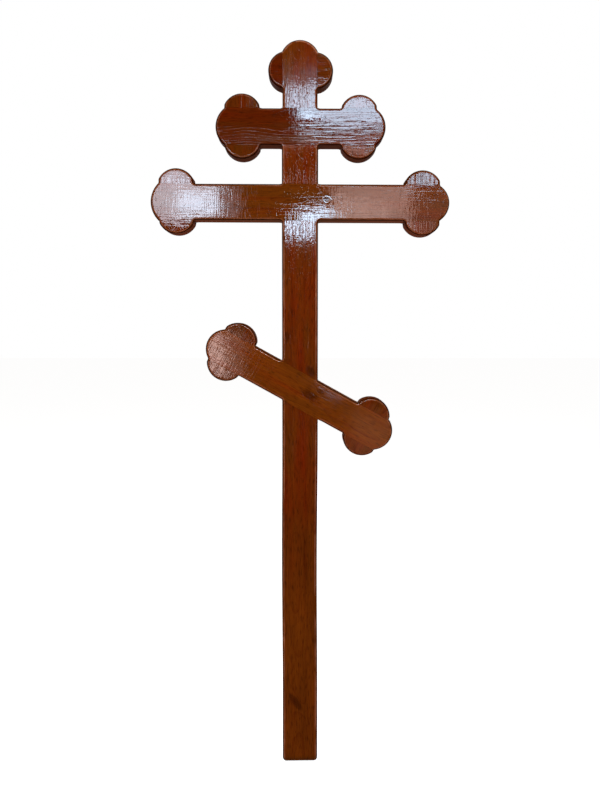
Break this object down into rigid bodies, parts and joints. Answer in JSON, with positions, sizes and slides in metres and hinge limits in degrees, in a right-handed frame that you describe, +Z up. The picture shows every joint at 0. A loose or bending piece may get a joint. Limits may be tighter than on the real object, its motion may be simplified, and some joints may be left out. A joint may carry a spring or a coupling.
{
  "type": "wooden grave cross",
  "caption": "Tall wooden grave cross: short upper bar, long main bar and slanted foot bar lapped into a post, trefoil ends of glued lobes, rounded edges, mahogany stain, gloss varnish.",
  "frame": {"origin": "middle of the post's flat foot, where the cross is set in the ground or in a ground anchor", "axes": "+Z up the post; -Y is the front, the side the bars run over the post; +X to the viewer's right, the side the foot bar falls to"},
  "size_m": [0.808, 0.045, 2],
  "materials": {
    "varnished_pine": "pine under dark mahogany stain and thick gloss varnish, brushed along the grain"
  },
  "bodies": {
    "root": {"post": "varnished_pine", "head_lobe_left": "varnished_pine", "head_lobe_right": "varnished_pine", "upper_bar": "varnished_pine", "upper_bar_lobe_left_top": "varnished_pine", "upper_bar_lobe_left_bottom": "varnished_pine", "upper_bar_lobe_right_top": "varnished_pine", "upper_bar_lobe_right_bottom": "varnished_pine", "main_bar": "varnished_pine", "main_bar_lobe_left_top": "varnished_pine", "main_bar_lobe_left_bottom": "varnished_pine", "main_bar_lobe_right_top": "varnished_pine", "main_bar_lobe_right_bottom": "varnished_pine", "foot_bar": "varnished_pine", "foot_bar_lobe_left_top": "varnished_pine", "foot_bar_lobe_left_bottom": "varnished_pine", "foot_bar_lobe_right_top": "varnished_pine", "foot_bar_lobe_right_bottom": "varnished_pine"}
  },
  "joints": []
}
